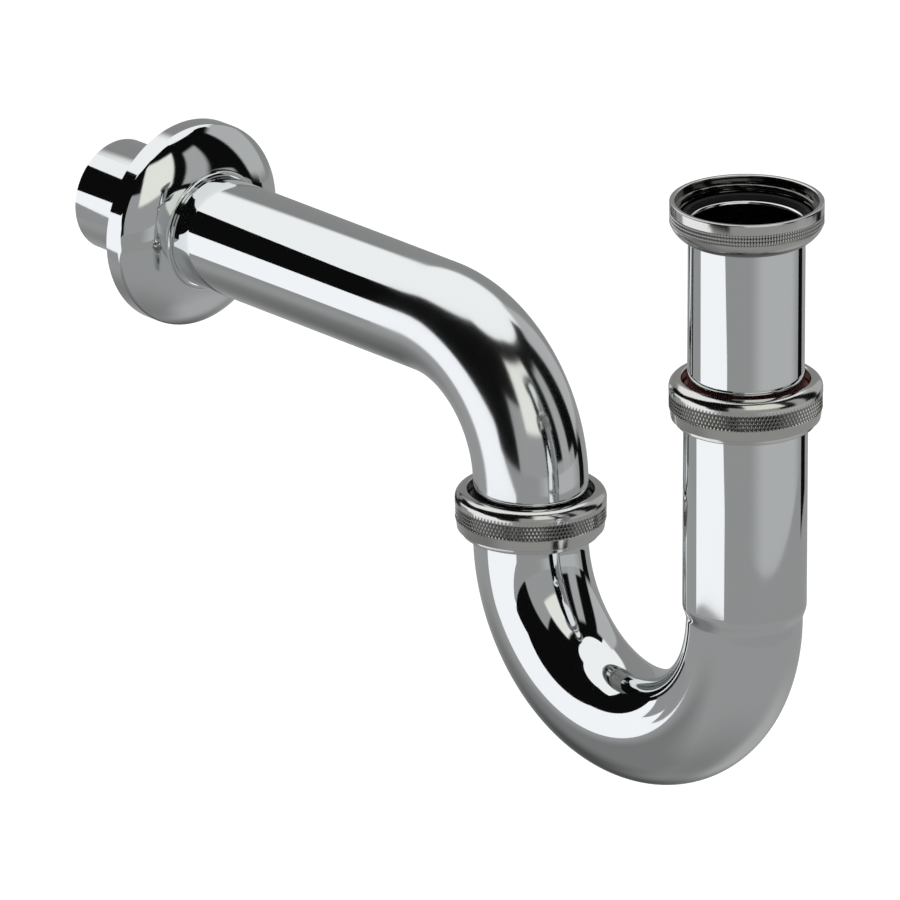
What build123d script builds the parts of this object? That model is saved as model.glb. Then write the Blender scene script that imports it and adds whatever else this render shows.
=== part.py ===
from build123d import *
import os

# Chromed brass tubular trap for a washbasin, in millimetres.
# +Z is up. The origin is on the axis of the waste nut, at the foot of its thread, where the end of the basin
# waste comes to the washer. The inlet leg runs down the Z axis, the outlet leg stands beside it on the -X
# side, and the outlet pipe runs along -X into the wall. The trap is symmetric about the XZ plane.
# The G 1 1/2 threads are plain cylinders at about their pitch diameter.

# Tube that the legs and the pipe are made from
tube_diameter = 40.0
tube_wall = 1.0

# Course of the tubes
leg_spacing = 108.4  # inlet leg axis to outlet leg axis
union_drop = 58.7  # origin down to the top of the inlet union nut
bend_drop = 146.2  # origin down to the start of the U
outlet_straight = 0.6  # start of the U up to the outlet ferrule
socket_taper = 5.3  # length over which the widened inlet leg narrows to the tube again
insertion = 40.0  # reach of the inlet tube into the widened leg, from the top of its ferrule
riser = 8.6  # straight part of the outlet pipe, from its collar to its elbow
elbow_radius = 48.4  # centreline radius of the elbow
pipe_reach = 325.0  # inlet leg axis to the plain end of the outlet pipe

# Clearances
slide_gap = 0.2  # slip rings and inlet seal round the tube
socket_gap = 0.3  # inlet tube inside the widened leg
solder_gap = 0.05  # tube inside a ferrule
thread_gap = 0.25  # ferrule inside its nut
face_gap = 0.1  # flat faces that turn on each other
skirt_gap = 0.2  # bottom of a tightened nut above the ferrule's collar
ring_gap = 0.3  # rings inside a nut

# All three nuts
nut_wall = 3.19  # outside of the nut to its thread
edge_round = 0.4

# Waste nut, open upwards
waste_nut_height = 13.0
waste_nut_floor = 4.2
waste_nut_hole_gap = 0.4
thread_overrun = 0.1  # thread below the origin
thread_relief = 0.5  # groove below the thread, round the washer and the flared rim
mouth_recess = 1.6  # plain bore above the thread, which leads the basin waste in
mouth_recess_width = 1.3  # from the thread out to that bore
mouth_band = 3.5  # smooth band above the beads
bead_rows = 3
bead_pitch = 1.28
bead_height = 0.25
waste_shoulder_width = 4.6
waste_shoulder_radius = 9.8

# Flared rim of the inlet tube and the washer on it
flare_width = 2.3
flare_thickness = 1.2
flare_round = 1.0
washer_thickness = 2.0
washer_drop = 0.3  # origin down to the top of the washer
washer_bore_gap = 0.6  # washer's hole round the tube's own diameter

# Union nuts, open downwards
nut_hole_gap = 2.0  # gap that shows round the tube
nut_roof = 4.8
nut_shoulder = 4.8  # height of the shoulder above the knurl
nut_shoulder_round = 3.4
nut_lip_round = 0.8
knurl_width = 5.5
knurl_height = 0.3
skirt_taper = 0.5
thread_engagement = 4.8

# Ferrules, soldered to the bend
ferrule_wall = 1.56  # widened leg to the thread
ferrule_collar_step = 1.1
ferrule_collar_height = 1.7
ferrule_ledge = 1.0  # stop for the end of the tube
seat_depth = 2.0  # cone for the inlet seal
seat_rim = 0.8

# Slip rings
slip_flange_thickness = 1.2
slip_hub_height = 1.2

# Seals
seal_band = 3.2  # inlet seal between the slip ring and the ferrule
seal_nose = 1.5
seal_nose_gap = 0.25
outlet_seal_thickness = 2.0

# Collar at the lower end of the outlet pipe
collar_width = 2.7
collar_thickness = 1.2
collar_round = 0.5

# Rosette, pressed from sheet
rosette_diameter = 73.4
rosette_sheet = 0.8
rosette_rim = 6.7  # depth of the cylindrical rim
rosette_rim_round = 1.3
rosette_rise = 9.0  # front of the rim to the end of the neck
rosette_flare_radius = 26.0
rosette_neck = 1.0
rosette_neck_round = 0.8
rosette_hole_gap = 0.25
wall_insertion = 36.0  # part of the outlet pipe that goes into the wall

# Radii, from the tube outwards
tube_r = tube_diameter / 2
bore_r = tube_r - tube_wall
sliding_bore_r = tube_r + slide_gap
socket_bore_r = tube_r + socket_gap
socket_r = socket_bore_r + tube_wall
ferrule_thread_r = socket_r + solder_gap + ferrule_wall
ferrule_collar_r = ferrule_thread_r + ferrule_collar_step
nut_thread_r = ferrule_thread_r + thread_gap
nut_r = nut_thread_r + nut_wall
nut_hole_r = tube_r + nut_hole_gap
inner_ring_r = nut_thread_r - ring_gap
flare_r = tube_r + flare_width

# Heights at the waste nut, from the washer downwards
washer_top_z = -washer_drop
flare_top_z = washer_top_z - washer_thickness
flare_bottom_z = flare_top_z - flare_thickness
waste_floor_z = flare_bottom_z - face_gap
waste_nut_bottom_z = waste_floor_z - waste_nut_floor
mouth_z = waste_nut_bottom_z + waste_nut_height

# Heights at the inlet union, from the top of the nut downwards
inlet_nut_top_z = -union_drop
inlet_slip_top_z = inlet_nut_top_z - nut_roof - face_gap
inlet_seal_top_z = inlet_slip_top_z - slip_flange_thickness - face_gap
inlet_ferrule_top_z = inlet_seal_top_z - seal_band - face_gap
inlet_nut_bottom_z = inlet_ferrule_top_z - thread_engagement
inlet_collar_top_z = inlet_nut_bottom_z - skirt_gap
socket_top_z = inlet_ferrule_top_z - seat_depth - ferrule_ledge
inlet_tube_end_z = inlet_ferrule_top_z - insertion

# Heights at the outlet union, from the start of the U upwards
bend_z = -bend_drop
outlet_ferrule_bottom_z = bend_z + outlet_straight
outlet_collar_top_z = outlet_ferrule_bottom_z + ferrule_collar_height
outlet_nut_bottom_z = outlet_collar_top_z + skirt_gap
outlet_ferrule_top_z = outlet_nut_bottom_z + thread_engagement
outlet_seal_bottom_z = outlet_ferrule_top_z + face_gap
pipe_collar_bottom_z = outlet_seal_bottom_z + outlet_seal_thickness
pipe_collar_top_z = pipe_collar_bottom_z + collar_thickness
outlet_slip_top_z = pipe_collar_top_z + face_gap + slip_flange_thickness
outlet_nut_top_z = outlet_slip_top_z + face_gap + nut_roof
bend_end_z = outlet_ferrule_top_z - ferrule_ledge
elbow_z = pipe_collar_bottom_z + riser
pipe_axis_z = elbow_z + elbow_radius

outlet_leg = Pos(-leg_spacing, 0, 0)


def turned(*corners):
    """Ring turned about Z. Each corner is (radius, height), or (radius, height, rounding)."""
    outline = make_face(Polyline(*[corner[:2] for corner in corners], close=True))
    for corner in corners:
        if len(corner) == 3:
            vertex = outline.vertices().sort_by_distance(Vector(corner[0], corner[1], 0))[0]
            outline = fillet(vertex, corner[2])
    return revolve(Plane.XZ * outline, Axis.Z)


def tube_section(plane):
    """Cross-section of the plain tube on a plane."""
    return plane * (Circle(tube_r) - Circle(bore_r))


def make_waste_nut():
    """Smooth band at the mouth, ribs for the rows of beads, then a shoulder that closes in on the tube; inside,
    a plain recess at the mouth, the thread and a groove round the washer."""
    hole_r = tube_r + waste_nut_hole_gap
    rib_foot_r = nut_r - bead_height
    band_z = mouth_z - mouth_band

    outside = [(nut_r, mouth_z - edge_round), (nut_r, band_z)]
    for row in range(bead_rows):
        row_z = band_z - row * bead_pitch
        outside.append((rib_foot_r, row_z - 0.1 * bead_pitch))
        outside.append((nut_r, row_z - 0.4 * bead_pitch))
        outside.append((nut_r, row_z - 0.7 * bead_pitch))
    ribs_end_z = band_z - bead_rows * bead_pitch
    shoulder_top = (nut_r, ribs_end_z - bead_height)
    outside += [(rib_foot_r, ribs_end_z), shoulder_top]

    shoulder_foot = (nut_r - waste_shoulder_width, waste_nut_bottom_z)
    shoulder = RadiusArc(shoulder_top, shoulder_foot, waste_shoulder_radius)
    inside = Polyline(
        shoulder_foot,
        (hole_r, waste_nut_bottom_z),
        (hole_r, waste_floor_z),
        (nut_thread_r + thread_relief, waste_floor_z),
        (nut_thread_r + thread_relief, -thread_overrun),
        (nut_thread_r, -thread_overrun),
        (nut_thread_r, mouth_z - mouth_recess),
        (nut_thread_r + mouth_recess_width, mouth_z - mouth_recess),
        (nut_thread_r + mouth_recess_width, mouth_z),
        (nut_r - edge_round, mouth_z),
        outside[0],
    )
    outline = make_face(Polyline(*outside) + shoulder + inside)
    return revolve(Plane.XZ * outline, Axis.Z)


def make_waste_washer():
    hole_r = tube_r + washer_bore_gap
    return turned(
        (hole_r, flare_top_z),
        (flare_r, flare_top_z),
        (flare_r, washer_top_z),
        (hole_r, washer_top_z),
    )


def make_inlet_tube():
    return turned(
        (bore_r, inlet_tube_end_z),
        (tube_r, inlet_tube_end_z),
        (tube_r, flare_bottom_z),
        (flare_r, flare_bottom_z),
        (flare_r, flare_top_z),
        (bore_r, flare_top_z, flare_round),
    )


def make_union_nut(top_z, bottom_z):
    """Nut with a rounded shoulder, a raised band for the knurl and a skirt that tapers downwards."""
    knurl_top_z = top_z - nut_shoulder
    knurl_bottom_z = knurl_top_z - knurl_width
    skirt_r = nut_r - knurl_height
    return turned(
        (nut_hole_r, top_z, nut_lip_round),
        (nut_r, top_z, nut_shoulder_round),
        (nut_r, knurl_bottom_z + knurl_height),
        (skirt_r, knurl_bottom_z),
        (skirt_r - skirt_taper, bottom_z, edge_round),
        (nut_thread_r, bottom_z),
        (nut_thread_r, top_z - nut_roof),
        (nut_hole_r, top_z - nut_roof),
    )


def make_slip_ring(top_z):
    """Flanged ring: the flange lies under the nut's roof and the hub stands in the nut's hole."""
    hub_r = nut_hole_r - ring_gap
    bottom_z = top_z - slip_flange_thickness
    return turned(
        (sliding_bore_r, bottom_z),
        (inner_ring_r, bottom_z),
        (inner_ring_r, top_z),
        (hub_r, top_z),
        (hub_r, top_z + slip_hub_height),
        (sliding_bore_r, top_z + slip_hub_height),
    )


def make_inlet_seal():
    """Rubber ring whose nose is wedged between the tube and the cone in the ferrule."""
    band_bottom_z = inlet_seal_top_z - seal_band
    nose_top_r = ferrule_thread_r - seat_rim - seal_nose_gap
    seat_slope = (nose_top_r + seal_nose_gap - socket_bore_r) / seat_depth
    nose_bottom_r = nose_top_r - seal_nose * seat_slope
    return turned(
        (sliding_bore_r, band_bottom_z - seal_nose),
        (nose_bottom_r, band_bottom_z - seal_nose),
        (nose_top_r, band_bottom_z),
        (inner_ring_r, band_bottom_z),
        (inner_ring_r, inlet_seal_top_z),
        (sliding_bore_r, inlet_seal_top_z),
    )


def make_inlet_ferrule():
    bottom_z = inlet_collar_top_z - ferrule_collar_height
    seat_bottom_z = inlet_ferrule_top_z - seat_depth
    return turned(
        (ferrule_thread_r - seat_rim, inlet_ferrule_top_z),
        (ferrule_thread_r, inlet_ferrule_top_z),
        (ferrule_thread_r, inlet_collar_top_z),
        (ferrule_collar_r, inlet_collar_top_z, edge_round),
        (ferrule_collar_r, bottom_z, edge_round),
        (socket_r + solder_gap, bottom_z),
        (socket_r + solder_gap, socket_top_z),
        (socket_bore_r, socket_top_z),
        (socket_bore_r, seat_bottom_z),
    )


def make_outlet_ferrule():
    return outlet_leg * turned(
        (bore_r, outlet_ferrule_top_z),
        (ferrule_thread_r, outlet_ferrule_top_z),
        (ferrule_thread_r, outlet_collar_top_z),
        (ferrule_collar_r, outlet_collar_top_z, edge_round),
        (ferrule_collar_r, outlet_ferrule_bottom_z, edge_round),
        (tube_r + solder_gap, outlet_ferrule_bottom_z),
        (tube_r + solder_gap, bend_end_z),
        (bore_r, bend_end_z),
    )


def make_trap_bend():
    """U of plain tube; its inlet leg is widened above the taper so that the inlet tube slides in it."""
    taper_top_z = bend_z + socket_taper
    widened_leg = turned(
        (socket_bore_r, socket_top_z),
        (socket_r, socket_top_z),
        (socket_r, taper_top_z),
        (tube_r, bend_z),
        (bore_r, bend_z),
        (socket_bore_r, taper_top_z),
    )
    bend_axis = Axis((-leg_spacing / 2, 0, bend_z), (0, 1, 0))
    bend = revolve(tube_section(Plane((0, 0, bend_z))), bend_axis, 180)
    outlet_end = extrude(tube_section(Plane((-leg_spacing, 0, bend_z))), bend_end_z - bend_z)
    return widened_leg + bend + outlet_end


def make_outlet_seal():
    return outlet_leg * turned(
        (bore_r, outlet_seal_bottom_z),
        (inner_ring_r, outlet_seal_bottom_z),
        (inner_ring_r, pipe_collar_bottom_z),
        (bore_r, pipe_collar_bottom_z),
    )


def make_outlet_pipe():
    """Collar and riser on the outlet leg, then the elbow and the straight run into the wall."""
    collar_r = tube_r + collar_width
    lower_end = outlet_leg * turned(
        (bore_r, pipe_collar_bottom_z),
        (collar_r, pipe_collar_bottom_z),
        (collar_r, pipe_collar_top_z, collar_round),
        (tube_r, pipe_collar_top_z),
        (tube_r, elbow_z),
        (bore_r, elbow_z),
    )
    elbow_end_x = -leg_spacing - elbow_radius
    elbow_axis = Axis((elbow_end_x, 0, elbow_z), (0, -1, 0))
    elbow = revolve(tube_section(Plane((-leg_spacing, 0, elbow_z))), elbow_axis, 90)
    run_start = Plane((elbow_end_x, 0, pipe_axis_z), z_dir=(-1, 0, 0))
    run = extrude(tube_section(run_start), pipe_reach + elbow_end_x)
    return lower_end + elbow + run


def make_rosette():
    """Cylindrical rim, then a flare that rises to a short neck round the pipe."""
    rim_r = rosette_diameter / 2
    neck_r = tube_r + rosette_hole_gap + rosette_sheet
    neck_top_z = rosette_rim + rosette_rise
    rim = Line((rim_r, 0), (rim_r, rosette_rim))
    flare = RadiusArc(rim @ 1, (neck_r, neck_top_z - rosette_neck), rosette_flare_radius)
    neck = Line(flare @ 1, (neck_r, neck_top_z))
    front = Wire([rim.edge(), flare.edge(), neck.edge()])
    for corner, rounding in ((rim @ 1, rosette_rim_round), (neck @ 0, rosette_neck_round)):
        front = front.fillet_2d(rounding, [front.vertices().sort_by_distance(corner)[0]])
    sheet = make_face(front.offset_2d(rosette_sheet, side=Side.LEFT))
    cover = revolve(Plane.XZ * sheet, Axis.Z)
    return Plane((-pipe_reach + wall_insertion, 0, pipe_axis_z), z_dir=(1, 0, 0)) * cover


pieces = {
    "waste_nut": make_waste_nut(),
    "waste_washer": make_waste_washer(),
    "inlet_tube": make_inlet_tube(),
    "inlet_union_nut": make_union_nut(inlet_nut_top_z, inlet_nut_bottom_z),
    "inlet_slip_ring": make_slip_ring(inlet_slip_top_z),
    "inlet_seal": make_inlet_seal(),
    "inlet_ferrule": make_inlet_ferrule(),
    "trap_bend": make_trap_bend(),
    "outlet_ferrule": make_outlet_ferrule(),
    "outlet_union_nut": outlet_leg * make_union_nut(outlet_nut_top_z, outlet_nut_bottom_z),
    "outlet_slip_ring": outlet_leg * make_slip_ring(outlet_slip_top_z),
    "outlet_seal": make_outlet_seal(),
    "outlet_pipe": make_outlet_pipe(),
    "rosette": make_rosette(),
}

os.makedirs("parts", exist_ok=True)
for name, piece in pieces.items():
    export_step(piece, f"parts/{name}.step")
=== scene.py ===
import bpy
import math
import numpy as np
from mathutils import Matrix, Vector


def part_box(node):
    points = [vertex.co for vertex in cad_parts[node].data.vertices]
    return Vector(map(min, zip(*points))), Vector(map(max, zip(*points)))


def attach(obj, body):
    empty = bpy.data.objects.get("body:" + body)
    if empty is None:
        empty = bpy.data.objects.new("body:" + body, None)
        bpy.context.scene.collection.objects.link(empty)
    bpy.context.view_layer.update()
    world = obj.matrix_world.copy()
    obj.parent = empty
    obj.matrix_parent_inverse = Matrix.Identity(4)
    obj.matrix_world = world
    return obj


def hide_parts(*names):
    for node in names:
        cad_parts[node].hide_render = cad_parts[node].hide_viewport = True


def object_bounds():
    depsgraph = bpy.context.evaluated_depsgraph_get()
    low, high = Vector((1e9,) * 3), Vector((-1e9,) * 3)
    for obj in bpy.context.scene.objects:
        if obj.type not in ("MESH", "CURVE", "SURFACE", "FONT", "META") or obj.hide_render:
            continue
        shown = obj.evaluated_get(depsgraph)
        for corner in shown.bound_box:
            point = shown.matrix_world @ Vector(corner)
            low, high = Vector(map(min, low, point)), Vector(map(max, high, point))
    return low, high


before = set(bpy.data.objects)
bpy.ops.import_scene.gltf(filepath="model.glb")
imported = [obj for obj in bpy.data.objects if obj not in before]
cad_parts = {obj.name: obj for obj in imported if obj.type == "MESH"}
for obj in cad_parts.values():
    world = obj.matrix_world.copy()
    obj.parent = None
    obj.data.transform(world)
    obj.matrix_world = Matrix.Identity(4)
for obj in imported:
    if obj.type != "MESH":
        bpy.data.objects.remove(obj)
cad_low, cad_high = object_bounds()

# Waste nut: turned brass, satin chromed, screwed on the thread of the basin waste.
# A smooth band at the mouth, three ribs rolled to fine beads, and a shoulder that closes in on the tube;
# inside, a plain recess, then a G 1 1/2 thread that stops at a groove for the washer.
waste_low, waste_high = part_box("waste_nut")
nut_radius = waste_high.x
waste_hole_radius = 0.0204
waste_hole_chamfer = 0.0003
waste_floor_thickness = 0.0042
thread_pitch = 0.002309
thread_depth = 0.0010
female_thread_radius = 0.02316
groove_radius = 0.02366
thread_foot = -0.0001
waste_thread_run_in = 0.0004
waste_thread_rows = 30
mouth_recess = 0.0016
recess_width = 0.0013
mouth_inner_round = 0.0006
mouth_outer_round = 0.0005
# Painted shade all over the inside of the waste nut's mouth, from 0 to 1.
mouth_painted_shade = 0.8
band_height = 0.0035
bead_rows = 3
beads_round = 160
bead_pitch = 0.00128
bead_height = 0.00045
bead_notch = 0.9
mesh_rows_per_bead = 8
mesh_columns_per_bead = 5
shoulder_drop = 0.00025
shoulder_width = 0.0046
shoulder_radius = 0.0098
wall_margin = 0.0001
sharp_angle = math.radians(35)
satin_colour = (0.69, 0.695, 0.675, 1)
# Painted shade: the dark colour that satin chrome takes in grooves and all over the inside of the waste
# nut's mouth.
painted_groove_shade_colour = (0.09, 0.09, 0.085, 1)


def rounded(*corners, step=0.2):
    """Points of an outline through corners (radius, height, rounding): where a rounding is given, the corner
    is an arc of that radius, tangent to both sides, with its centre on the bisector. The step is the most
    that an arc turns from point to point, in radians."""
    corners = np.array([(*corner, 0)[:3] for corner in corners])
    points = corners[:, :2]
    back = np.roll(points, 1, axis=0) - points
    ahead = np.roll(points, -1, axis=0) - points
    back /= np.linalg.norm(back, axis=1)[:, None]
    ahead /= np.linalg.norm(ahead, axis=1)[:, None]
    stretches = []
    for point, before, after, rounding in zip(points, back, ahead, corners[:, 2]):
        if rounding == 0:
            stretches.append(point[None])
            continue
        half = math.acos(np.clip(before @ after, -1, 1)) / 2
        bisector = (before + after) / np.linalg.norm(before + after)
        centre = point + bisector * rounding / math.sin(half)
        first = point + before * rounding / math.tan(half) - centre
        last = point + after * rounding / math.tan(half) - centre
        sweep = math.pi - 2 * half
        share = np.linspace(0, 1, 3 + int(sweep / step))[:, None]
        arc = (first * np.sin((1 - share) * sweep) + last * np.sin(share * sweep)) / math.sin(sweep)
        stretches.append(centre + arc)
    return np.concatenate(stretches)


def arc_between(start, end, radius, step=0.05):
    """Points on the circle of that radius through start and end; a positive radius bulges to the left of the
    way from start to end, a negative one to the right. The step is as in a rounded outline."""
    start, end = np.array(start), np.array(end)
    chord = end - start
    half = np.linalg.norm(chord) / 2
    left = np.array([-chord[1], chord[0]]) / (2 * half)
    side = math.copysign(1, radius)
    centre = (start + end) / 2 - side * left * math.sqrt(radius**2 - half**2)
    sweep = 2 * math.asin(half / abs(radius))
    share = np.linspace(0, 1, 4 + int(sweep / step))[:, None]
    first, last = start - centre, end - centre
    return centre + (first * np.sin((1 - share) * sweep) + last * np.sin(share * sweep)) / math.sin(sweep)


def upright(place, heights):
    """Points at one radius, or one x, through the given heights."""
    return np.stack([np.full(len(heights), place), heights], axis=1)


def between(height, low, high, run_in):
    """1 inside a band of heights and 0 outside it, rising over the run-in at both ends."""
    return np.clip((height - low) / run_in, 0, 1) * np.clip((high - height) / run_in, 0, 1)


def thread(angle, height, foot, top, run_in):
    """A triangle wave of the height less the lead of one pitch a turn, with its crests and roots cut flat
    half way, so that it goes from -depth/2 to depth/2; it runs in at its foot and its top."""
    phase = (height / thread_pitch - angle / (2 * np.pi)) % 1
    helix = thread_depth * np.clip(2 * np.abs(2 * phase - 1) - 1, -0.5, 0.5)
    return between(height, foot, top, run_in) * helix


def swept(centre, tangent, radius, columns, relief=None):
    """Circles carried along a path in the XZ plane: each row of the grid is one circle, given by its centre
    (x, z), the path's direction there and its radius, to which the relief (rows by columns) is added."""
    angle = np.linspace(0, 2 * np.pi, columns, endpoint=False)
    reach = np.repeat(radius[:, None], columns, axis=1)
    if relief is not None:
        reach = reach + relief
    across = reach * np.cos(angle)
    x = centre[:, :1] + across * tangent[:, 1:]
    z = centre[:, 1:] - across * tangent[:, :1]
    return np.stack([x, reach * np.sin(angle), z], axis=-1)


def turned(outline, axis_x, columns, relief=None):
    """An outline (radius, height) turned about the vertical through axis_x. The relief is a function of the
    angle, the height and the radius that is added to the radius."""
    area = np.sum(outline[:, 0] * np.roll(outline[:, 1], -1) - np.roll(outline[:, 0], -1) * outline[:, 1])
    if area < 0:
        outline = outline[::-1]
    centre = upright(axis_x, outline[:, 1])
    straight_up = np.tile([0.0, 1.0], (len(outline), 1))
    angle = np.linspace(0, 2 * np.pi, columns, endpoint=False)[None]
    carved = relief(angle, outline[:, 1:], outline[:, :1]) if relief else None
    return swept(centre, straight_up, outline[:, 0], columns, carved)


def piece_from(name, points, materials, inner_rows=None):
    """Mesh of a grid that closes on itself both ways. Its UV is the share of the way round and the distance
    along the outline in millimetres. Rows marked as inner take the second material."""
    rows, columns = points.shape[:2]
    row, column = np.meshgrid(np.arange(rows), np.arange(columns), indexing="ij")
    corner_row = np.stack([row, row, row + 1, row + 1], axis=-1)
    corner_column = np.stack([column, column + 1, column + 1, column], axis=-1)
    corners = (corner_row % rows) * columns + corner_column % columns
    mesh = bpy.data.meshes.new(name)
    mesh.from_pydata(points.reshape(-1, 3).tolist(), [], corners.reshape(-1, 4).tolist())
    steps = np.linalg.norm(np.roll(points[:, 0], -1, axis=0) - points[:, 0], axis=1)
    distance = np.concatenate([[0], np.cumsum(steps)]) * 1000
    uv = np.stack([corner_column / columns, distance[corner_row]], axis=-1)
    mesh.uv_layers.new(name="around").data.foreach_set("uv", uv.ravel().astype(np.float32))
    mesh.polygons.foreach_set("use_smooth", np.ones(rows * columns, dtype=bool))
    mesh.set_sharp_from_angle(angle=sharp_angle)
    for material in materials:
        mesh.materials.append(material)
    if inner_rows is not None:
        mesh.polygons.foreach_set("material_index", np.repeat(inner_rows.astype(np.int32), columns))
    mesh.update()
    piece = bpy.data.objects.new(name, mesh)
    bpy.context.scene.collection.objects.link(piece)
    return piece


def vertex_places(piece):
    """The x, the y and the z of all vertices, as three arrays."""
    points = np.empty(3 * len(piece.data.vertices), dtype=np.float32)
    piece.data.vertices.foreach_get("co", points)
    return points.reshape(-1, 3).T


def keep_on_vertices(mesh, name, values):
    """Keeps one number for each vertex, as an attribute that a material reads by its name."""
    attribute = mesh.attributes.new(name, "FLOAT", "POINT")
    attribute.data.foreach_set("value", values.ravel().astype(np.float32))


def paint_groove_shade(piece, axis_x, crest_radius, depth, foot, top, bore_radius=0, bore_painted_shade=0):
    """Between two heights, each vertex keeps how far it lies below the crest: the square of its share of the
    depth, as painted shade in the grooves. What lies deeper still is another wall and keeps 0, and inside
    the bore's radius all vertices keep the same painted shade."""
    deepest = 1.2
    x, y, z = vertex_places(piece)
    radius = np.hypot(x - axis_x, y)
    below = (crest_radius - radius) / depth
    on_relief = (below < deepest) & (z > foot) & (z < top)
    painted_groove_shade = np.where(on_relief, np.clip(below, 0, 1) ** 2, 0)
    keep_on_vertices(piece.data, "painted_groove_shade", np.where(radius < bore_radius, bore_painted_shade, painted_groove_shade))


def fit_out(piece, node, body):
    """The piece stands for its CAD node and rides on the node's body."""
    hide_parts(node)
    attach(piece, body)


def start_material(name):
    """A new material, its node tree and its shader."""
    material = bpy.data.materials.new(name)
    material.use_nodes = True
    tree = material.node_tree
    return material, tree, tree.nodes["Principled BSDF"]


def noise_on(tree, source, scale, detail=2.0, stretch=(1, 1, 1)):
    """Noise on one of the Texture Coordinate outputs, stretched by a Mapping node."""
    coordinate = tree.nodes.new("ShaderNodeTexCoord")
    mapping = tree.nodes.new("ShaderNodeMapping")
    mapping.inputs["Scale"].default_value = stretch
    noise = tree.nodes.new("ShaderNodeTexNoise")
    noise.inputs["Scale"].default_value = scale
    noise.inputs["Detail"].default_value = detail
    tree.links.new(coordinate.outputs[source], mapping.inputs["Vector"])
    tree.links.new(mapping.outputs["Vector"], noise.inputs["Vector"])
    return noise.outputs["Fac"]


def spread(tree, noise, socket, low, high):
    """Sends a noise, most of which lies between 0.3 and 0.7, to a socket as a value from low to high."""
    spread_node = tree.nodes.new("ShaderNodeMapRange")
    spread_node.inputs["From Min"].default_value = 0.3
    spread_node.inputs["From Max"].default_value = 0.7
    spread_node.inputs["To Min"].default_value = low
    spread_node.inputs["To Max"].default_value = high
    tree.links.new(noise, spread_node.inputs["Value"])
    tree.links.new(spread_node.outputs["Result"], socket)


def bump(tree, noise, shader, strength, distance):
    """Tilts the shader's normal as if the noise were heights up to the distance, in metres."""
    bump_node = tree.nodes.new("ShaderNodeBump")
    bump_node.inputs["Strength"].default_value = strength
    bump_node.inputs["Distance"].default_value = distance
    tree.links.new(noise, bump_node.inputs["Height"])
    tree.links.new(bump_node.outputs["Normal"], shader.inputs["Normal"])


def make_satin_chrome():
    """Chrome over turned brass: fine marks of the lathe run round the piece, and the gloss varies with them.
    Where a piece carries painted groove shade, from 0 to 1, its colour is darkened by that share: painted
    shade."""
    material, tree, shader = start_material("satin_chrome")
    painted_groove_shade = tree.nodes.new("ShaderNodeAttribute")
    painted_groove_shade.attribute_name = "painted_groove_shade"
    painted_shade_mix = tree.nodes.new("ShaderNodeMix")
    painted_shade_mix.data_type = "RGBA"
    painted_shade_mix.inputs["A"].default_value = satin_colour
    painted_shade_mix.inputs["B"].default_value = painted_groove_shade_colour
    tree.links.new(painted_groove_shade.outputs["Fac"], painted_shade_mix.inputs["Factor"])
    tree.links.new(painted_shade_mix.outputs["Result"], shader.inputs["Base Color"])
    shader.inputs["Metallic"].default_value = 1.0
    marks = noise_on(tree, "UV", scale=1.0, detail=3.0, stretch=(2.0, 9.0, 1.0))
    spread(tree, marks, shader.inputs["Roughness"], low=0.10, high=0.17)
    bump(tree, marks, shader, strength=0.08, distance=0.00004)
    return material


satin_chrome = make_satin_chrome()

recess_radius = female_thread_radius + recess_width
recess_foot = waste_high.z - mouth_recess
band_foot = waste_high.z - band_height
beads_foot = band_foot - bead_rows * bead_pitch
bead_foot_radius = nut_radius - bead_height
bead_heights = np.linspace(band_foot, beads_foot, bead_rows * mesh_rows_per_bead + 1)[1:-1]
shoulder_top = (nut_radius, beads_foot - shoulder_drop)
shoulder_end = (nut_radius - shoulder_width, waste_low.z)
waste_floor = waste_low.z + waste_floor_thickness
waste_outline = np.concatenate([
    rounded(
        (recess_radius, recess_foot),
        (recess_radius, waste_high.z, mouth_inner_round),
        (nut_radius, waste_high.z, mouth_outer_round),
        (nut_radius, band_foot),
        (bead_foot_radius, band_foot),
    ),
    upright(bead_foot_radius, bead_heights),
    [(bead_foot_radius, beads_foot)],
    arc_between(shoulder_top, shoulder_end, shoulder_radius),
    [
        (waste_hole_radius + waste_hole_chamfer, waste_low.z),
        (waste_hole_radius, waste_low.z + waste_hole_chamfer),
        (waste_hole_radius, waste_floor),
        (groove_radius, waste_floor),
        (groove_radius, thread_foot),
    ],
    upright(female_thread_radius, np.linspace(thread_foot, recess_foot, waste_thread_rows)),
])


def waste_nut_relief(angle, height, radius):
    """Outside, half-round ribs that dip by the notch between one bead and the next, as a parabola; inside,
    the thread."""
    off_side = 2 * ((angle * beads_round / (2 * np.pi)) % 1) - 1
    off_row = 2 * (((band_foot - height) / bead_pitch) % 1) - 1
    dome = bead_height * np.sqrt(1 - off_row**2) * (1 - bead_notch * off_side**2)
    on_beads = (radius > groove_radius) & (radius < nut_radius)
    on_beads = on_beads & (height < band_foot) & (height > beads_foot)
    on_thread = np.abs(radius - female_thread_radius) < wall_margin
    turns = thread(angle, height, thread_foot, recess_foot, waste_thread_run_in)
    return np.where(on_beads, dome, 0) + on_thread * turns


waste_points = turned(waste_outline, 0, mesh_columns_per_bead * beads_round, waste_nut_relief)
waste_nut = piece_from("waste_nut_turned", waste_points, [satin_chrome])
mouth_radius = recess_radius + wall_margin
# Painted shade in the notches between the beads and all over the inside of the mouth.
paint_groove_shade(waste_nut, 0, nut_radius, bead_height, beads_foot, band_foot, mouth_radius, mouth_painted_shade)
fit_out(waste_nut, "waste_nut", "waste_nut")

# Waste washer: flat black rubber ring that lies on the tube's flared rim and seals the basin waste.
# Stamped from sheet, so its edges are nearly sharp and its faces slightly rough.
washer_low, washer_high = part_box("waste_washer")
washer_hole_radius = 0.0206
washer_edge = 0.0002
ring_columns = 160
rubber_colour = (0.014, 0.014, 0.015, 1)


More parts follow.
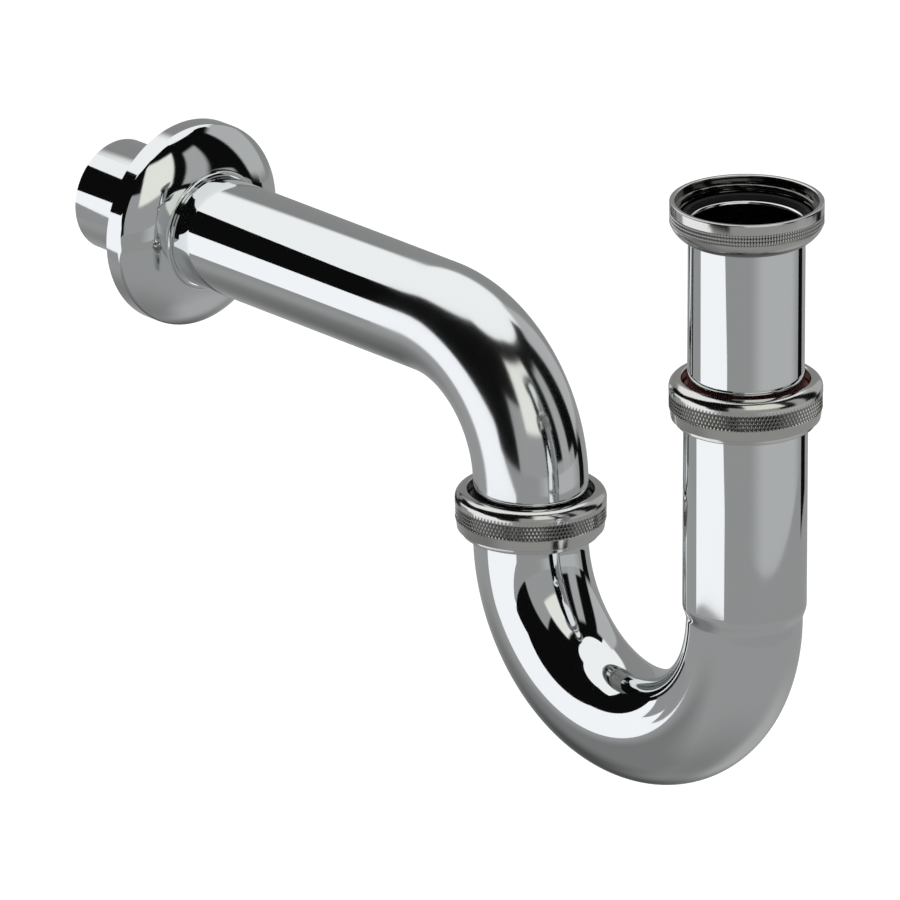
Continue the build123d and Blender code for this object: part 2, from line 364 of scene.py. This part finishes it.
def make_rubber():
    """Matt black rubber: fine grain in the surface and a faint bloom that changes its gloss."""
    material, tree, shader = start_material("black_rubber")
    shader.inputs["Base Color"].default_value = rubber_colour
    shader.inputs["Specular IOR Level"].default_value = 0.25
    bloom = noise_on(tree, "Object", scale=300.0)
    spread(tree, bloom, shader.inputs["Roughness"], low=0.5, high=0.75)
    grain = noise_on(tree, "Object", scale=4000.0)
    bump(tree, grain, shader, strength=0.3, distance=0.00005)
    return material


black_rubber = make_rubber()
washer_outline = rounded(
    (washer_hole_radius, washer_low.z, washer_edge),
    (washer_high.x, washer_low.z, washer_edge),
    (washer_high.x, washer_high.z, washer_edge),
    (washer_hole_radius, washer_high.z, washer_edge),
)
washer = piece_from("waste_washer_ring", turned(washer_outline, 0, ring_columns), [black_rubber])
fit_out(washer, "waste_washer", "inlet")

# Inlet tube: drawn brass tube, mirror chromed, its top end flared out to hang in the waste nut.
# The inner edge of the flare is rolled round.
inlet_low, inlet_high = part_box("inlet_tube")
tube_radius = 0.0200
bore_radius = 0.0190
tube_edge = 0.0003
flare_thickness = 0.0012
flare_root_round = 0.0005
flare_round = 0.0010
inlet_columns = 192
chrome_colour = (0.785, 0.81, 0.815, 1)
haze_roughness = 0.10


def make_mirror_chrome():
    """Bright plated chrome: almost a mirror, with the faint waves of polished tube and a trace of wiping.
    Where a piece carries a haze, from 0 to 1, the chrome is duller by that share of the haze roughness."""
    material, tree, shader = start_material("mirror_chrome")
    shader.inputs["Base Color"].default_value = chrome_colour
    shader.inputs["Metallic"].default_value = 1.0
    haze = tree.nodes.new("ShaderNodeAttribute")
    haze.attribute_name = "haze"
    hazy = tree.nodes.new("ShaderNodeMath")
    hazy.operation = "MULTIPLY_ADD"
    hazy.inputs[1].default_value = haze_roughness
    tree.links.new(haze.outputs["Fac"], hazy.inputs[0])
    wiping = noise_on(tree, "Object", scale=40.0, detail=3.0)
    spread(tree, wiping, hazy.inputs[2], low=0.03, high=0.055)
    tree.links.new(hazy.outputs[0], shader.inputs["Roughness"])
    waves = noise_on(tree, "Object", scale=22.0, detail=1.0)
    bump(tree, waves, shader, strength=0.04, distance=0.0006)
    return material


mirror_chrome = make_mirror_chrome()
flare_foot = inlet_high.z - flare_thickness
inlet_outline = rounded(
    (bore_radius, inlet_low.z, tube_edge),
    (tube_radius, inlet_low.z, tube_edge),
    (tube_radius, flare_foot, flare_root_round),
    (inlet_high.x, flare_foot, tube_edge),
    (inlet_high.x, inlet_high.z, tube_edge),
    (bore_radius, inlet_high.z, flare_round),
)
inlet_tube = piece_from("inlet_tube_drawn", turned(inlet_outline, 0, inlet_columns), [mirror_chrome])
fit_out(inlet_tube, "inlet_tube", "inlet")

# Union nuts: turned brass, satin chromed, one on each leg of the bend.
# A rounded shoulder round the hole, a diamond knurl for the hand, a plain skirt, and a thread inside.
knurl_cells = 120
knurl_cell_height = 0.00266
knurl_height = 0.0055
knurl_depth = 0.00068
knurl_edge = 0.0001
knurl_run_in = 0.0003
knurl_top_gap = 0.00001
knurl_margin = 0.00005
mesh_rows_per_cell = 12
mesh_columns_per_cell = 6
nut_shoulder = 0.0048
nut_shoulder_round = 0.0034
nut_lip = 0.0008
nut_roof = 0.0048
nut_hole_radius = 0.0220
nut_mouth_chamfer = 0.0006
thread_run_in = 0.0008
nut_thread_rows = 36
skirt_step = 0.0003
skirt_taper = 0.0005
skirt_edge = 0.0004
skirt_top_gap = 0.0003
skirt_radius = nut_radius - skirt_step


def make_union_nut(name, node):
    """Turned outline from the foot of the knurl over the shoulder, down the thread and back up the skirt."""
    low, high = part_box(node)
    axis_x = (low.x + high.x) / 2
    knurl_top = high.z - nut_shoulder
    knurl_foot = knurl_top - knurl_height
    thread_top = high.z - nut_roof
    outline = np.concatenate([
        upright(nut_radius, np.arange(knurl_foot, knurl_top, knurl_cell_height / mesh_rows_per_cell)),
        rounded(
            (nut_radius, knurl_top - knurl_top_gap),
            (nut_radius, high.z, nut_shoulder_round),
            (nut_hole_radius, high.z, nut_lip),
            (nut_hole_radius, thread_top),
        ),
        upright(female_thread_radius, np.linspace(thread_top, low.z, nut_thread_rows)),
        rounded(
            (female_thread_radius + nut_mouth_chamfer, low.z),
            (skirt_radius - skirt_taper, low.z, skirt_edge),
            (skirt_radius, knurl_foot - skirt_top_gap, knurl_edge),
            (nut_radius - knurl_edge, knurl_foot - knurl_edge),
        )[:-1],
    ])

    def relief(angle, height, radius):
        """Outside, the diamonds of the knurl, cut down to the lesser of two crossed triangle waves; inside,
        the thread."""
        u = angle * knurl_cells / (2 * np.pi)
        v = (height - knurl_foot) / knurl_cell_height
        rising = 1 - np.abs(2 * ((u + v) % 1) - 1)
        falling = 1 - np.abs(2 * ((u - v) % 1) - 1)
        cut = between(height, knurl_foot - knurl_edge, knurl_top, knurl_run_in)
        cut = cut * (radius > nut_radius - knurl_margin)
        knurl = cut * knurl_depth * (np.minimum(rising, falling) - 1)
        on_thread = np.abs(radius - female_thread_radius) < wall_margin
        return knurl + on_thread * thread(angle, height, low.z, thread_top, thread_run_in)

    points = turned(outline, axis_x, mesh_columns_per_cell * knurl_cells, relief)
    nut = piece_from(name, points, [satin_chrome])
    # Painted shade in the grooves of the knurl.
    paint_groove_shade(nut, axis_x, nut_radius, knurl_depth, knurl_foot, knurl_top)
    return nut


inlet_union_nut = make_union_nut("inlet_union_nut_knurled", "inlet_union_nut")
fit_out(inlet_union_nut, "inlet_union_nut", "inlet_union_nut")
outlet_union_nut = make_union_nut("outlet_union_nut_knurled", "outlet_union_nut")
fit_out(outlet_union_nut, "outlet_union_nut", "outlet_union_nut")

# Slip rings: flanged rings under the nuts' roofs, so that a nut turns without dragging its seal round.
# The inlet one is red-brown vulcanised fibre, the outlet one black plastic; both show in the nuts' holes.
slip_bore_radius = 0.0202
slip_flange = 0.0012
slip_flange_edge = 0.0002
slip_hub_edge = 0.0003
slip_hub_gap = 0.0003
slip_hub_radius = nut_hole_radius - slip_hub_gap
fibre_dark_colour = (0.12, 0.028, 0.026, 1)
fibre_light_colour = (0.19, 0.042, 0.036, 1)
plastic_colour = (0.024, 0.024, 0.025, 1)


def make_red_fibre():
    """Vulcanised fibre: red-brown, mottled by the pressed fibres, with a soft sheen."""
    material, tree, shader = start_material("red_fibre")
    ramp = tree.nodes.new("ShaderNodeValToRGB")
    dark, light = ramp.color_ramp.elements
    dark.position = 0.35
    dark.color = fibre_dark_colour
    light.position = 0.65
    light.color = fibre_light_colour
    fibres = noise_on(tree, "Object", scale=900.0, detail=4.0, stretch=(1, 1, 3))
    tree.links.new(fibres, ramp.inputs["Fac"])
    tree.links.new(ramp.outputs["Color"], shader.inputs["Base Color"])
    spread(tree, fibres, shader.inputs["Roughness"], low=0.45, high=0.65)
    bump(tree, fibres, shader, strength=0.25, distance=0.00005)
    return material


def make_black_plastic():
    """Moulded black plastic with the fine even grain of the mould."""
    material, tree, shader = start_material("black_plastic")
    shader.inputs["Base Color"].default_value = plastic_colour
    grain = noise_on(tree, "Object", scale=2500.0)
    spread(tree, grain, shader.inputs["Roughness"], low=0.32, high=0.45)
    bump(tree, grain, shader, strength=0.15, distance=0.00003)
    return material


def make_slip_ring(name, node, material):
    """Turned outline of an L: the flange at the foot, and the hub that stands up into the nut's hole."""
    low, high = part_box(node)
    flange_radius = (high.x - low.x) / 2
    flange_top = low.z + slip_flange
    outline = rounded(
        (slip_bore_radius, low.z, slip_flange_edge),
        (flange_radius, low.z, slip_flange_edge),
        (flange_radius, flange_top, slip_flange_edge),
        (slip_hub_radius, flange_top),
        (slip_hub_radius, high.z, slip_hub_edge),
        (slip_bore_radius, high.z, slip_hub_edge),
    )
    return piece_from(name, turned(outline, (low.x + high.x) / 2, ring_columns), [material])


inlet_slip_ring = make_slip_ring("inlet_slip_ring_fibre", "inlet_slip_ring", make_red_fibre())
fit_out(inlet_slip_ring, "inlet_slip_ring", "inlet_slip_ring")
outlet_slip_ring = make_slip_ring("outlet_slip_ring_plastic", "outlet_slip_ring", make_black_plastic())
fit_out(outlet_slip_ring, "outlet_slip_ring", "outlet_slip_ring")

# Seals: black rubber. The inlet one is a ring with a conical nose, squeezed round the sliding tube;
# the outlet one is a flat ring between the pipe's collar and the ferrule.
seal_bore_radius = 0.0202
seal_nose = 0.0015
seal_nose_top_radius = 0.02186
seal_nose_tip_radius = 0.0205
seal_edge = 0.0003
inlet_seal_low, inlet_seal_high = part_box("inlet_seal")
outlet_seal_low, outlet_seal_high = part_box("outlet_seal")
inlet_seal_outline = rounded(
    (seal_bore_radius, inlet_seal_low.z),
    (seal_nose_tip_radius, inlet_seal_low.z),
    (seal_nose_top_radius, inlet_seal_low.z + seal_nose),
    (inlet_seal_high.x, inlet_seal_low.z + seal_nose, seal_edge),
    (inlet_seal_high.x, inlet_seal_high.z, seal_edge),
    (seal_bore_radius, inlet_seal_high.z),
)
inlet_seal = piece_from("inlet_seal_cone", turned(inlet_seal_outline, 0, ring_columns), [black_rubber])
fit_out(inlet_seal, "inlet_seal", "inlet_seal")
outlet_x = (outlet_seal_low.x + outlet_seal_high.x) / 2
outlet_seal_radius = (outlet_seal_high.x - outlet_seal_low.x) / 2
outlet_seal_outline = rounded(
    (bore_radius, outlet_seal_low.z),
    (outlet_seal_radius, outlet_seal_low.z, seal_edge),
    (outlet_seal_radius, outlet_seal_high.z, seal_edge),
    (bore_radius, outlet_seal_high.z),
)
outlet_seal_points = turned(outlet_seal_outline, outlet_x, ring_columns)
outlet_seal = piece_from("outlet_seal_ring", outlet_seal_points, [black_rubber])
fit_out(outlet_seal, "outlet_seal", "outlet")

# Ferrules: turned brass rings soldered to the two ends of the bend, satin chromed with the nuts.
# Each has a male thread that the nut runs on and a collar that shows as a fine ring under the skirt.
male_thread_radius = 0.02291
ferrule_thread_rows = 40
ferrule_columns = 240
ferrule_collar_height = 0.0017
ferrule_collar_edge = 0.0004
ferrule_lip = 0.0008
socket_bore_radius = 0.0203
socket_radius = 0.0213
solder_gap = 0.00005
seat_depth = 0.0020
ledge = 0.0010
inlet_ferrule_low, inlet_ferrule_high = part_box("inlet_ferrule")
outlet_ferrule_low, outlet_ferrule_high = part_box("outlet_ferrule")
ferrule_collar_radius = inlet_ferrule_high.x
ferrule_socket_radius = socket_radius + solder_gap
ferrule_tube_radius = tube_radius + solder_gap
inlet_ledge = inlet_ferrule_high.z - seat_depth - ledge
outlet_ledge = outlet_ferrule_high.z - ledge


def make_ferrule(name, low, high, inside):
    """Turned outline: thread and collar outside, and the given corners inside, from the top down."""
    thread_start = low.z + ferrule_collar_height
    outline = np.concatenate([
        rounded(
            *inside,
            (ferrule_collar_radius, low.z, ferrule_collar_edge),
            (ferrule_collar_radius, thread_start, ferrule_collar_edge),
        ),
        upright(male_thread_radius, np.linspace(thread_start, high.z, ferrule_thread_rows)),
    ])

    def relief(angle, height, radius):
        """The thread, on its own wall alone."""
        on_thread = np.abs(radius - male_thread_radius) < wall_margin
        return on_thread * thread(angle, height, thread_start, high.z, thread_run_in)

    points = turned(outline, (low.x + high.x) / 2, ferrule_columns, relief)
    return piece_from(name, points, [satin_chrome])


inlet_ferrule = make_ferrule("inlet_ferrule_threaded", inlet_ferrule_low, inlet_ferrule_high, [
    (male_thread_radius - ferrule_lip, inlet_ferrule_high.z),
    (socket_bore_radius, inlet_ferrule_high.z - seat_depth),
    (socket_bore_radius, inlet_ledge),
    (ferrule_socket_radius, inlet_ledge),
    (ferrule_socket_radius, inlet_ferrule_low.z),
])
fit_out(inlet_ferrule, "inlet_ferrule", "trap")
outlet_ferrule = make_ferrule("outlet_ferrule_threaded", outlet_ferrule_low, outlet_ferrule_high, [
    (bore_radius, outlet_ferrule_high.z),
    (bore_radius, outlet_ledge),
    (ferrule_tube_radius, outlet_ledge),
    (ferrule_tube_radius, outlet_ferrule_low.z),
])
fit_out(outlet_ferrule, "outlet_ferrule", "trap")

# Trap bend: one length of brass tube bent to a U, mirror chromed outside and dull in the bore.
# Its inlet leg is widened to take the sliding inlet tube, and narrows to the plain tube above the U.
bend_low, bend_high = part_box("trap_bend")
leg_spacing = -outlet_x
bend_radius = leg_spacing / 2
bend_start = bend_low.z + bend_radius + tube_radius
taper_length = 0.0053
taper_top = bend_start + taper_length
socket_row_gap = 0.001
taper_row_gap = 0.0003
bend_row_gap = 0.0005
tube_columns = 160
bore_colour = (0.36, 0.34, 0.31, 1)


def make_dull_bore():
    """Inside of the tube, where the plating is thin: dull metal with streaks along the draw."""
    material, tree, shader = start_material("dull_bore")
    shader.inputs["Base Color"].default_value = bore_colour
    shader.inputs["Metallic"].default_value = 1.0
    streaks = noise_on(tree, "UV", scale=6.0, detail=3.0, stretch=(12.0, 0.05, 1.0))
    spread(tree, streaks, shader.inputs["Roughness"], low=0.28, high=0.45)
    return material


dull_bore = make_dull_bore()


def tube_piece(name, path, tangent, outer, inner):
    """Closed wall of a tube: outer circles along the path, then inner circles back along it."""
    centre = np.concatenate([path, path[::-1]])
    direction = np.concatenate([tangent, tangent[::-1]])
    radius = np.concatenate([outer, inner[::-1]])
    inner_rows = np.concatenate([np.zeros(len(path), dtype=bool), np.ones(len(path), dtype=bool)])
    inner_rows[-1] = False
    points = swept(centre, direction, radius, tube_columns)
    return piece_from(name, points, [mirror_chrome, dull_bore], inner_rows)


def straight(start, end, rows):
    """Points and direction of a straight run in the XZ plane."""
    start, end = np.array(start), np.array(end)
    share = np.linspace(0, 1, rows)[:, None]
    way = (end - start) / np.linalg.norm(end - start)
    return start + (end - start) * share, np.tile(way, (rows, 1))


def bent(centre, radius, first, last, rows):
    """Points and direction on an arc in the XZ plane, from the first to the last angle about its centre."""
    angle = np.linspace(first, last, rows)
    out = np.stack([np.cos(angle), np.sin(angle)], axis=1)
    turn = math.copysign(1, last - first)
    return np.array(centre) + radius * out, turn * np.stack([-out[:, 1], out[:, 0]], axis=1)


def joined(runs):
    """The points of all runs, one run after the other, and their directions."""
    points, directions = zip(*runs)
    return np.concatenate(points), np.concatenate(directions)


def ease(share):
    """Smooth step from 0 to 1: three times the square of the share less twice its cube."""
    share = np.clip(share, 0, 1)
    return share * share * (3 - 2 * share)


bend_path, bend_tangent = joined([
    straight((0, bend_high.z), (0, taper_top + socket_row_gap), rows=12),
    straight((0, taper_top), (0, bend_start + taper_row_gap), rows=12),
    bent((-bend_radius, bend_start), bend_radius, 0, -np.pi, rows=97),
    straight((-leg_spacing, bend_start + bend_row_gap), (-leg_spacing, outlet_ledge), rows=6),
])
on_inlet = bend_path[:, 0] > -bend_radius
widening = np.where(on_inlet, ease((bend_path[:, 1] - bend_start) / (taper_top - bend_start)), 0)
bend_outer = tube_radius + (socket_radius - tube_radius) * widening
bend_inner = bore_radius + (socket_bore_radius - bore_radius) * widening
trap_bend = tube_piece("trap_bend_u", bend_path, bend_tangent, bend_outer, bend_inner)
fit_out(trap_bend, "trap_bend", "trap")

# Outlet pipe: one length of the same tube with a rolled collar at its foot, an elbow and a long straight
# run. Mirror chromed, and a little hazy round the elbow, where the bent tube was polished over; its plain
# end goes into the socket in the wall.
pipe_low, pipe_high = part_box("outlet_pipe")
collar_reach = 0.0027
collar_thickness = 0.0012
collar_foot_edge = 0.0002
collar_round = 0.0005
collar_root = 0.002
collar_inset = 0.0001
riser_row_gap = 0.001
elbow_radius = 0.0484
pipe_end_chamfer = 0.0002
haze_reach = 0.5
haze_fall = 0.6

pipe_axis = pipe_high.z - tube_radius
elbow_start = pipe_axis - elbow_radius
elbow_end = -leg_spacing - elbow_radius
collar_radius = tube_radius + collar_reach
collar_top = pipe_low.z + collar_thickness
riser_foot = collar_top + collar_root + riser_row_gap
collar_outline = rounded(
    (tube_radius - collar_inset, pipe_low.z),
    (collar_radius, pipe_low.z, collar_foot_edge),
    (collar_radius, collar_top, collar_round),
    (tube_radius, collar_top, collar_round),
    (tube_radius, collar_top + collar_root),
)[1:]
collar_path = upright(-leg_spacing, collar_outline[:, 1])
pipe_path, pipe_tangent = joined([
    (collar_path, np.tile([0.0, 1.0], (len(collar_path), 1))),
    straight((-leg_spacing, riser_foot), (-leg_spacing, elbow_start - bend_row_gap), rows=4),
    bent((elbow_end, elbow_start), elbow_radius, 0, np.pi / 2, rows=61),
    straight((elbow_end - bend_row_gap, pipe_axis), (pipe_low.x + pipe_end_chamfer, pipe_axis), rows=24),
    straight((pipe_low.x + pipe_end_chamfer / 2, pipe_axis), (pipe_low.x, pipe_axis), rows=2),
])
pipe_outer = np.full(len(pipe_path), tube_radius)
pipe_outer[:len(collar_outline)] = collar_outline[:, 0]
pipe_outer[-1] -= pipe_end_chamfer
pipe_inner = np.full(len(pipe_path), bore_radius)
outlet_pipe = tube_piece("outlet_pipe_bent", pipe_path, pipe_tangent, pipe_outer, pipe_inner)
elbow_share = (vertex_places(outlet_pipe)[0] - elbow_end) / elbow_radius
elbow_haze = ease((elbow_share + haze_reach) / haze_reach) * ease((1 + haze_fall - elbow_share) / haze_fall)
keep_on_vertices(outlet_pipe.data, "haze", elbow_haze)
fit_out(outlet_pipe, "outlet_pipe", "outlet")

# Rosette: round cover pressed from brass sheet, mirror chromed, that slides along the pipe to the wall.
# A cylindrical rim, then a hollow flare that rises to a short neck round the pipe.
rosette_low, rosette_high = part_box("rosette")
rosette_radius = rosette_high.y
rosette_sheet = 0.0008
rosette_rim = 0.0067
rosette_flare_radius = 0.0260
rosette_neck = 0.0010
rosette_hole_radius = 0.02025
rosette_columns = 192
corner_softness = 0.0009

neck_radius = rosette_hole_radius + rosette_sheet
neck_end = rosette_high.x - rosette_low.x
flare_end = (neck_radius, neck_end - rosette_neck)


def eased(outline, reach, rows=240, neighbours=15):
    """Even rows along an open outline, each the average of neighbours within the reach, so that its corners
    are rounded; the reach shrinks to nothing at the two ends, which stay."""
    length = np.concatenate([[0], np.cumsum(np.linalg.norm(np.diff(outline, axis=0), axis=1))])
    even = np.linspace(0, length[-1], rows)
    offsets = np.linspace(-reach, reach, neighbours)
    near = np.minimum(np.minimum(even, length[-1] - even), reach)[:, None] / reach * offsets + even[:, None]
    return np.stack([np.interp(near, length, side).mean(axis=1) for side in outline.T], axis=1)


front = eased(np.concatenate([
    [(rosette_radius, 0)],
    arc_between((rosette_radius, rosette_rim), flare_end, -rosette_flare_radius),
    [(neck_radius, neck_end)],
]), corner_softness)
along = np.gradient(front, axis=0)
along /= np.linalg.norm(along, axis=1)[:, None]
rear = front + rosette_sheet * np.stack([-along[:, 1], along[:, 0]], axis=1)
sheet = np.concatenate([front, rear[::-1]])
rosette_centre = np.stack([rosette_low.x + sheet[:, 1], np.full(len(sheet), pipe_axis)], axis=1)
rosette_way = np.tile([1.0, 0.0], (len(sheet), 1))
rosette_points = swept(rosette_centre, rosette_way, sheet[:, 0], rosette_columns)
rosette = piece_from("rosette_pressed", rosette_points, [mirror_chrome])
fit_out(rosette, "rosette", "rosette")

# Studio: a white floor and backdrop, and cards round the object that only show in its polished metal:
# black flags with white and grey panels between them, a ring of stripes under them, and a grey table.
studio_centre = np.array([-0.15, 0, -0.1])
black_level = 0.004
dark_level = 0.012
white_level = (1.10, 1.10, 1.13)
pale_level = (0.92, 0.92, 0.85)
card_distance = 0.70
card_rows = 48
card_columns = 72
layer_gap = 0.004


def make_glow(name, level, faded):
    """Even light of one level; on a faded card it thins out towards the edges."""
    material = bpy.data.materials.new(name)
    material.use_nodes = True
    tree = material.node_tree
    tree.nodes.clear()
    output = tree.nodes.new("ShaderNodeOutputMaterial")
    glow = tree.nodes.new("ShaderNodeEmission")
    glow.inputs["Color"].default_value = (*level, 1)
    if not faded:
        tree.links.new(glow.outputs[0], output.inputs["Surface"])
        return material
    clear = tree.nodes.new("ShaderNodeBsdfTransparent")
    mix = tree.nodes.new("ShaderNodeMixShader")
    fade = tree.nodes.new("ShaderNodeAttribute")
    fade.attribute_name = "fade"
    tree.links.new(fade.outputs["Fac"], mix.inputs["Fac"])
    tree.links.new(clear.outputs[0], mix.inputs[1])
    tree.links.new(glow.outputs[0], mix.inputs[2])
    tree.links.new(mix.outputs[0], output.inputs["Surface"])
    return material


def card(name, azimuths, elevations, level, layer=0, softness=(0, 0)):
    """Patch of a sphere round the object between two azimuths and two elevations, in degrees. An elevation
    may be a pair, for an edge that slopes from the first azimuth to the last. Higher layers stand nearer.
    Towards its sides, and towards its foot and top, it fades out over the two softnesses, in degrees; a card
    that reaches the nadir has no foot."""
    azimuth, share = np.meshgrid(np.linspace(*azimuths, card_columns + 1), np.linspace(0, 1, card_rows + 1))
    foot, top = (np.interp(azimuth, azimuths, np.broadcast_to(edge, 2)) for edge in elevations)
    elevation = foot + (top - foot) * share
    a, e = np.radians(azimuth), np.radians(elevation)
    outward = np.stack([np.cos(a) * np.cos(e), np.sin(a) * np.cos(e), np.sin(e)], axis=-1)
    points = studio_centre + (card_distance - layer_gap * layer) * outward
    row, column = np.meshgrid(np.arange(card_rows), np.arange(card_columns), indexing="ij")
    first = row * (card_columns + 1) + column
    above = first + card_columns + 1
    quads = np.stack([first, first + 1, above + 1, above], axis=-1)
    mesh = bpy.data.meshes.new(name)
    mesh.from_pydata(points.reshape(-1, 3).tolist(), [], quads.reshape(-1, 4).tolist())
    glow = np.ones(azimuth.shape)
    if softness[0]:
        glow *= ease(np.minimum(azimuth - azimuths[0], azimuths[1] - azimuth) / softness[0])
    if softness[1]:
        above_foot = elevation - foot if foot.min() > -90 else np.inf
        glow *= ease(np.minimum(top - elevation, above_foot) / softness[1])
    keep_on_vertices(mesh, "fade", glow)
    level = level if isinstance(level, tuple) else (level, level, level)
    mesh.materials.append(make_glow(name, level, any(softness)))
    patch = bpy.data.objects.new(name, mesh)
    bpy.context.scene.collection.objects.link(patch)
    patch.visible_camera = False
    patch.visible_diffuse = False
    patch.visible_transmission = False
    patch.visible_shadow = False


card("rear_left_flag", (-180, -147), (-13, (30, 33)), black_level)
card("left_flag_step", (-147, -137), (-13, (33, 44)), black_level)
card("left_flag", (-137, -90), (-13, (44, 70)), black_level)
card("front_flag", (-90, 0), (-13, (70, 69)), black_level)
card("right_flag", (0, 82), (-13, (69, 52)), black_level)
card("rear_grey_card", (82, 180), (-24, (42, 38)), level=0.28, softness=(0, 4))
card("right_grey_panel", (68, 104), (-8, 46), level=0.50, layer=1, softness=(4, 6))
card("white_panel_rise", (-168, -125), (-24, (-2, 12)), white_level, layer=1)
card("white_panel_fall", (-125, -88), (-24, (12, 1)), white_level, layer=1)
card("grey_panel", (-57, 6), (-24, 28), level=0.36, layer=1, softness=(2, 2))
card("pale_panel", (-37, 14), (12, 56), pale_level, layer=2, softness=(4, 4))
card("low_grey_panel", (0, 58), (-24, -1), level=0.38, layer=2, softness=(3, 2))
card("light_bar", (24, 45), (-16, 46), level=0.42, layer=3, softness=(4, 6))
card("ring", (-180, 180), (-24, -8), level=0.33, layer=4)
card("ring_white_start", (-146, -138), ((-18.5, -19), -8), white_level, layer=5)
card("ring_white_step", (-138, -134), ((-19, -27.2), -8), white_level, layer=5)
card("ring_white", (-134, -84), ((-27.2, -23.7), -8), white_level, layer=5)
card("ring_white_end", (-84, -67), ((-23.7, -22.5), (-10, -19)), white_level, layer=5)
card("ring_pale", (-30, 68), (-17.8, -8), level=0.50, layer=5, softness=(26, 0))
card("ring_black", (67, 85), (-20.5, -8), black_level, layer=6)
card("ring_dark", (158, 190), (-24, -8), dark_level, layer=6)
card("table", (-180, 180), (-90, -24), level=0.345, layer=4)
card("table_middle", (-180, 180), (-90, -45), level=0.235, layer=5, softness=(0, 45))
card("table_left", (-200, -75), (-84, -27.5), level=0.22, layer=6, softness=(45, 12))
card("table_right", (30, 130), (-80, -30), level=0.44, layer=6, softness=(40, 20))
card("table_shade", (100, 220), (-80, -28), level=0.08, layer=7, softness=(40, 25))

# Floor: a wide white sheet well under the object, that takes its faint shadow and isn't mirrored in it.
# It glows a little for the camera, so that it runs into the white backdrop.
floor_drop = 0.10
floor_half = 15.0
floor_colour = (0.92, 0.92, 0.92, 1)
floor_glow = 0.25

floor_height = cad_low.z - floor_drop
floor_corners = [(-floor_half, -floor_half), (floor_half, -floor_half)]
floor_corners += [(floor_half, floor_half), (-floor_half, floor_half)]
floor_mesh = bpy.data.meshes.new("floor")
floor_mesh.from_pydata([(x, y, floor_height) for x, y in floor_corners], [], [(0, 1, 2, 3)])
floor_material, floor_tree, floor_shader = start_material("white_floor")
floor_shader.inputs["Base Color"].default_value = floor_colour
floor_shader.inputs["Roughness"].default_value = 0.9
floor_shader.inputs["Specular IOR Level"].default_value = 0.0
floor_shader.inputs["Emission Color"].default_value = (1, 1, 1, 1)
floor_path = floor_tree.nodes.new("ShaderNodeLightPath")
floor_lift = floor_tree.nodes.new("ShaderNodeMath")
floor_lift.operation = "MULTIPLY"
floor_lift.inputs[1].default_value = floor_glow
floor_tree.links.new(floor_path.outputs["Is Camera Ray"], floor_lift.inputs[0])
floor_tree.links.new(floor_lift.outputs[0], floor_shader.inputs["Emission Strength"])
floor_mesh.materials.append(floor_material)
floor = bpy.data.objects.new("floor", floor_mesh)
floor.visible_glossy = False
bpy.context.scene.collection.objects.link(floor)

# Light: a white room, brighter where the camera or the metal sees it than where it lights matt surfaces,
# and one round softbox overhead that the metal doesn't mirror.
room_strength = 0.7
seen_strength = 1.05
softbox_width = 1.6
softbox_power = 14.0
softbox_place = (-0.1, -0.3, 1.6)

world = bpy.data.worlds.new("studio")
bpy.context.scene.world = world
world.use_nodes = True
world_tree = world.node_tree
world_light = world_tree.nodes["Background"]
world_light.inputs["Color"].default_value = (1, 1, 1, 1)
world_path = world_tree.nodes.new("ShaderNodeLightPath")
seen = world_tree.nodes.new("ShaderNodeMath")
seen.operation = "MAXIMUM"
world_tree.links.new(world_path.outputs["Is Camera Ray"], seen.inputs[0])
world_tree.links.new(world_path.outputs["Is Glossy Ray"], seen.inputs[1])
seen_through = world_tree.nodes.new("ShaderNodeMath")
seen_through.operation = "MAXIMUM"
world_tree.links.new(seen.outputs[0], seen_through.inputs[0])
world_tree.links.new(world_path.outputs["Is Transmission Ray"], seen_through.inputs[1])
world_strength = world_tree.nodes.new("ShaderNodeMapRange")
world_strength.inputs["To Min"].default_value = room_strength
world_strength.inputs["To Max"].default_value = seen_strength
world_tree.links.new(seen_through.outputs[0], world_strength.inputs["Value"])
world_tree.links.new(world_strength.outputs["Result"], world_light.inputs["Strength"])

softbox_light = bpy.data.lights.new("softbox", "AREA")
softbox_light.shape = "DISK"
softbox_light.size = softbox_width
softbox_light.energy = softbox_power
softbox = bpy.data.objects.new("softbox", softbox_light)
softbox.location = softbox_place
softbox.visible_glossy = False
bpy.context.scene.collection.objects.link(softbox)

# Camera: a long lens well away from the object, turned to the photograph's angle.
# The mouth of the waste nut comes to its place in the picture, which is 900 pixels square.
camera_azimuth = math.radians(47.936)
camera_elevation = math.radians(20.697)
camera_distance = 6.0
pixels_per_metre = 2954.0
picture_size = 900
mouth_pixel = (747.0, 199.7)
sensor_width = 36.0

mouth = np.array([0, 0, waste_high.z])
ca, sa = math.cos(camera_azimuth), math.sin(camera_azimuth)
ce, se = math.cos(camera_elevation), math.sin(camera_elevation)
right = np.array([ca, sa, 0])
up = np.array([-sa * se, ca * se, ce])
back = np.array([sa * ce, -ca * ce, se])
across = (mouth_pixel[0] - picture_size / 2) / pixels_per_metre
down = (mouth_pixel[1] - picture_size / 2) / pixels_per_metre
camera_data = bpy.data.cameras.new("camera")
camera_data.sensor_width = sensor_width
camera_data.lens = sensor_width * pixels_per_metre * camera_distance / picture_size
camera = bpy.data.objects.new("camera", camera_data)
camera.location = mouth - across * right + down * up + camera_distance * back
camera.rotation_euler = (math.pi / 2 - camera_elevation, 0, camera_azimuth)
bpy.context.scene.collection.objects.link(camera)
bpy.context.scene.camera = camera
bpy.context.scene.view_settings.view_transform = "Standard"
